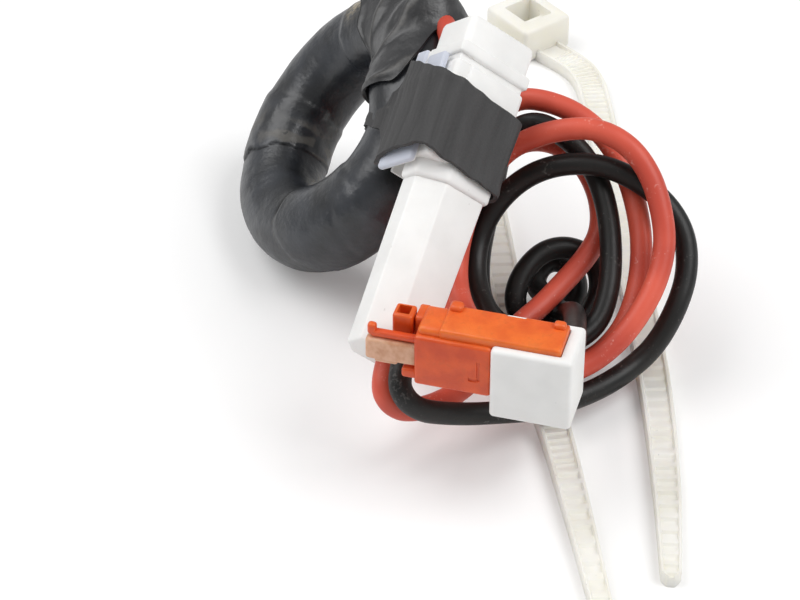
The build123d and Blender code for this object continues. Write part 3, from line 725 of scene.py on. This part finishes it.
# Lighter on top and near the front edge: painted light, partly translucency.
thin_and_lit_share = []
for point in body.data.vertices:
    spot = point.co / mm
    thin_and_lit_share.append(rise(spot.z, 5.2, 5.6) * (0.45 + 0.55 * (1 - rise(spot.y, 0.6, 1.4))))
mark_points(body, "thin_and_lit", thin_and_lit_share)
settle(body, branch_seat, orange_nylon, "branch_plug_body")
lock = welded("branch_lock_moulding", [
    brick((-8.6, 0.5, 2.7), (-5.0, 1.35, 4.4), 0.25),
    brick((-8.0, 0.6, 2.45), (-6.4, 1.45, 3.4), 0.2),
])
settle(lock, branch_seat, tan_nylon, "branch_plug_lock")

# Nylon straps: two used natural nylon straps under the coil, each with a locking head and a ribbed tail.
# Moulded in one, with a rail along each edge and a ladder of low teeth between.
strap_half = 1.25
strap_top = 1.1
strap_low = cad_box[0][2] / mm
strap_steps = 420
teeth_from, teeth_to = 0.06, 0.78
fine_teeth, coarse_teeth = 70, 52
strap_courses = {
    "strap_long": [
        (15.9, 25.0), (18.8, 21.1), (19.7, 14.2), (20.6, 0.0), (21.6, -17.0), (21.7, -29.2), (21.3, -39.0)],
    "strap_short": [
        (8.2, 21.0), (9.2, 14.5), (10.4, 3.0), (11.8, -11.1), (14.0, -22.0), (15.3, -30.9), (16.9, -44.0)],
}
width_shares = [1.0, 1.0, 1.0, 1.0, 0.95, 0.8, 0.52]
strap_profile = [
    (0.0, 0.0), (-0.95, 0.0), (-1.0, 0.1), (-1.0, 0.78), (-0.92, 0.95), (-0.76, 0.95), (-0.66, 0.7),
    (0.66, 0.7), (0.76, 0.95), (0.92, 0.95), (1.0, 0.78), (1.0, 0.1), (0.95, 0.0), (0.0, 0.0)]
strap_nylon = moulding_finish("natural_nylon_moulding", (0.86, 0.835, 0.745), (0.93, 0.91, 0.84), 0.34, 4.0,
                              Subsurface_Weight=0.3, Subsurface_Radius=(0.002, 0.0018, 0.0013),
                              Subsurface_Scale=1.0)


def course_at(course, share):
    """Point, direction and width share along a strap, by a smooth line through its course."""
    place = share * (len(course) - 1)
    i = min(int(place), len(course) - 2)
    t = place - i
    a, b, c, d = [Vector(course[max(0, min(len(course) - 1, i + k))]) for k in (-1, 0, 1, 2)]
    bend = 2 * a - 5 * b + 4 * c - d
    twist = 3 * b - a - 3 * c + d
    spot = 0.5 * (2 * b + (c - a) * t + bend * t ** 2 + twist * t ** 3)
    slope = (c - a) + 2 * bend * t + 3 * twist * t ** 2
    width = width_shares[i] * (1 - t) + width_shares[i + 1] * t
    width *= min(1.0, ((1.0 - share) / 0.018 + 0.12) ** 0.5)
    return spot, slope.normalized(), width


for name, course in strap_courses.items():
    bpy.ops.object.select_all(action="DESELECT")
    bpy.ops.mesh.primitive_grid_add(x_subdivisions=len(strap_profile) - 1, y_subdivisions=strap_steps, size=1)
    strap = bpy.context.object
    for point in strap.data.vertices:
        column = round((point.co.x + 0.5) * (len(strap_profile) - 1))
        share = point.co.y + 0.5
        across, up = strap_profile[column]
        spot, slope, width = course_at(course, share)
        tall = strap_top * up
        if 6 <= column <= 7 and teeth_from < share < teeth_to:
            tall += 0.18 * ((share * fine_teeth) % 1.0)
        if 6 <= column <= 7 and share > teeth_to:
            tall += 0.2 * rise(sin(share * coarse_teeth * 2 * pi), -0.3, 0.3)
        aside = Vector((-slope.y, slope.x)) * (across * strap_half * width)
        point.co = Vector((spot.x + aside.x, spot.y + aside.y, strap_low + tall)) * mm
    bpy.ops.object.mode_set(mode="EDIT")
    bpy.ops.mesh.select_all(action="SELECT")
    bpy.ops.mesh.remove_doubles(threshold=0.002 * mm)
    bpy.ops.mesh.fill_holes(sides=0)
    bpy.ops.mesh.normals_make_consistent(inside=False)
    bpy.ops.object.mode_set(mode="OBJECT")
    first = Vector(course[1]) - Vector(course[0])
    head_place = Matrix.Translation(Vector((*course[0], strap_low)) * mm)
    head = brick((-5.4, -2.5, 0.0), (0.0, 2.5, 3.2), 0.45)
    carve(head, brick((-4.2, -1.35, -1.0), (-2.7, 1.35, 5.0), 0.1))
    carve(head, brick((-3.4, -1.35, 2.2), (-1.2, 1.35, 5.0), 0.2))
    head.matrix_world = head_place @ Matrix.Rotation(atan2(first.y, first.x), 4, "Z")
    pick(head)
    bpy.ops.object.transform_apply(location=True, rotation=True, scale=True)
    pick(strap, head)
    bpy.ops.object.join()
    strap.name = name + "_nylon"
    settle(strap, Matrix.Identity(4), strap_nylon, name)

# Floor: a sheet of white paper that the straps and the ring's rim rest on.
# It stands under two large soft lamps in an even white room.
bpy.ops.object.select_all(action="DESELECT")
bpy.ops.mesh.primitive_plane_add(size=4.0, location=(0, 0, cad_box[0][2]))
floor = bpy.context.object
floor.name = "paper_floor"
paper, where = new_finish("white_paper")
sheet = where.grain(40.0, 2.0)
lit = where.node("ShaderNodeLightPath", {}, {}, "Is Camera Ray").tint((0.0, 0.0, 0.0), (0.13, 0.13, 0.13))
paper_white = sheet.tint((0.86, 0.86, 0.86), (0.88, 0.88, 0.88))
lay_finish(where, paper_white, 0.9 + 0.02 * sheet, Specular_IOR_Level=0.1, Emission_Color=lit,
           Emission_Strength=1.0)
floor.data.materials.append(paper)
lamps = {
    "left_lamp": ((-0.36, 0.06, 0.46), 0.55, 2.35),
    "right_lamp": ((0.38, -0.12, 0.50), 0.42, 2.4),
}
for name, (place, size, power) in lamps.items():
    light = bpy.data.lights.new(name, "AREA")
    light.size = size
    light.energy = power
    lamp = bpy.data.objects.new(name, light)
    lamp.location = place
    lamp.rotation_euler = Vector(place).to_track_quat("Z", "Y").to_euler()
    bpy.context.collection.objects.link(lamp)
world = bpy.data.worlds.new("white_room")
world.use_nodes = True
world.node_tree.nodes["Background"].inputs["Color"].default_value = (1.0, 1.0, 1.0, 1.0)
world.node_tree.nodes["Background"].inputs["Strength"].default_value = 0.33
bpy.context.scene.world = world
bpy.context.scene.view_settings.view_transform = "Standard"

# Camera: a long lens from the front, 38 degrees above the floor.
# It stands close enough for the picture to crop the ring's top and one strap.
camera_rise = radians(38.0)
camera_aim = Vector((3.5, -11.7, -6.8)) * mm
camera_far = 0.2
lens = bpy.data.cameras.new("front_camera")
lens.lens = 123.3
lens.sensor_width = 36.0
lens.clip_start = 0.005
camera = bpy.data.objects.new("front_camera", lens)
camera.location = camera_aim + Vector((0.0, -cos(camera_rise), sin(camera_rise))) * camera_far
camera.rotation_euler = (pi / 2 - camera_rise, 0.0, 0.0)
bpy.context.collection.objects.link(camera)
bpy.context.scene.camera = camera
